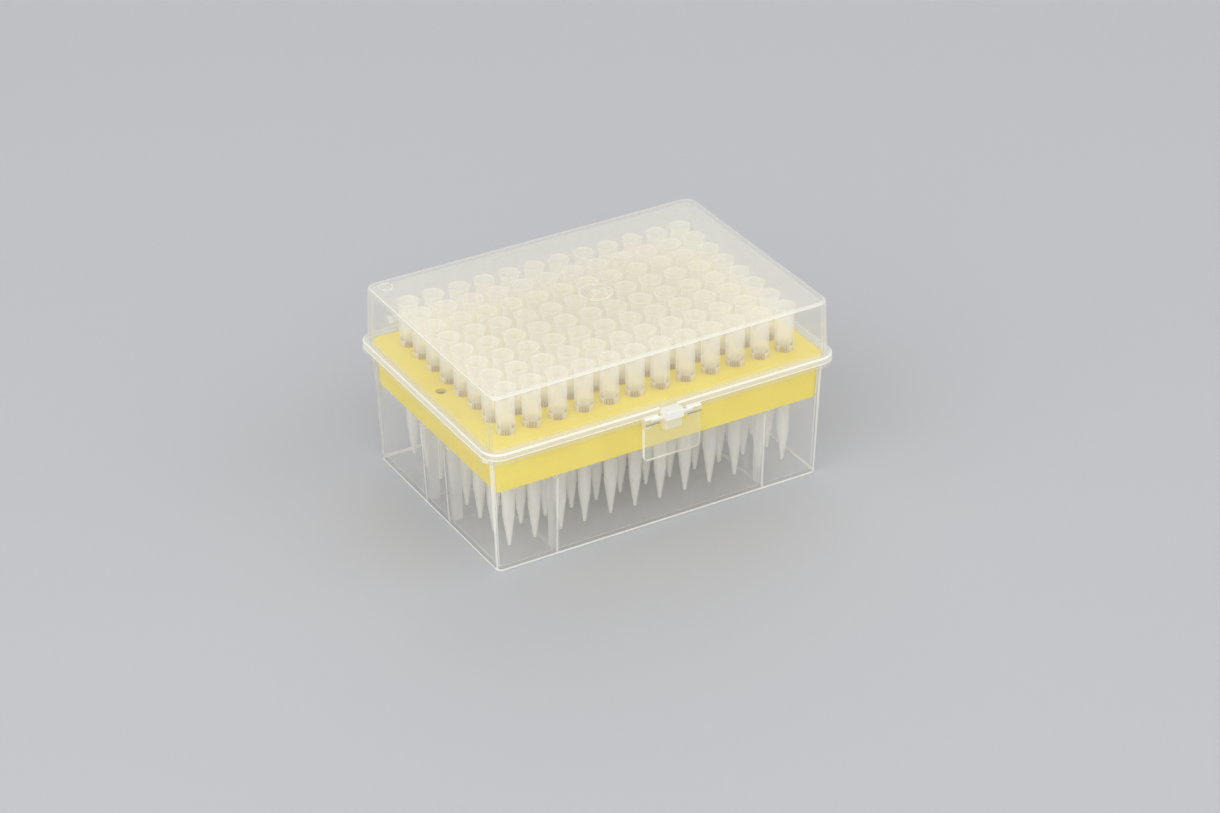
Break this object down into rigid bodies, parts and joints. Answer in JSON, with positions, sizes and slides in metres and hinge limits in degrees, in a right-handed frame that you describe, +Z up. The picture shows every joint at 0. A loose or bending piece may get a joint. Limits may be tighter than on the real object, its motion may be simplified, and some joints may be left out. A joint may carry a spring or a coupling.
{
  "type": "pipette tip box",
  "caption": "Clear hinged laboratory box that holds a rack of pipette tips in a perforated tray, closed by a swinging front latch tab.",
  "frame": {"origin": "middle of the base's underside, below the centre of the tip grid", "axes": "+X along the twelve columns of tips, -Y towards the latch, +Y towards the hinge, +Z up"},
  "size_m": [0.124, 0.0966, 0.0631],
  "materials": {
    "clear_base": "clear polypropylene, smooth",
    "clear_lid": "slightly hazy clear polypropylene, smooth",
    "clear_latch": "clear polypropylene, smooth",
    "yellow_tray": "opaque yellow polypropylene, satin",
    "milky_tips": "natural milky polypropylene, smooth"
  },
  "bodies": {
    "base": {"base": "clear_base", "tip_tray": "yellow_tray", "tips_column_01": "milky_tips", "tips_column_02": "milky_tips", "tips_column_03": "milky_tips", "tips_column_04": "milky_tips", "tips_column_05": "milky_tips", "tips_column_06": "milky_tips", "tips_column_07": "milky_tips", "tips_column_08": "milky_tips", "tips_column_09": "milky_tips", "tips_column_10": "milky_tips", "tips_column_11": "milky_tips", "tips_column_12": "milky_tips"},
    "lid": {"lid": "clear_lid"},
    "latch_tab": {"latch_tab": "clear_latch"}
  },
  "joints": [
    {"name": "lid_hinge", "type": "hinge", "parent": "base", "child": "lid", "pos_m": [0, 0.0465, 0.0443], "axis": [-1, 0, 0], "range_deg": [0, 110]},
    {"name": "latch_pivot", "type": "hinge", "parent": "lid", "child": "latch_tab", "pos_m": [0, -0.04575, 0.0419], "axis": [-1, 0, 0], "range_deg": [0, 100]}
  ]
}
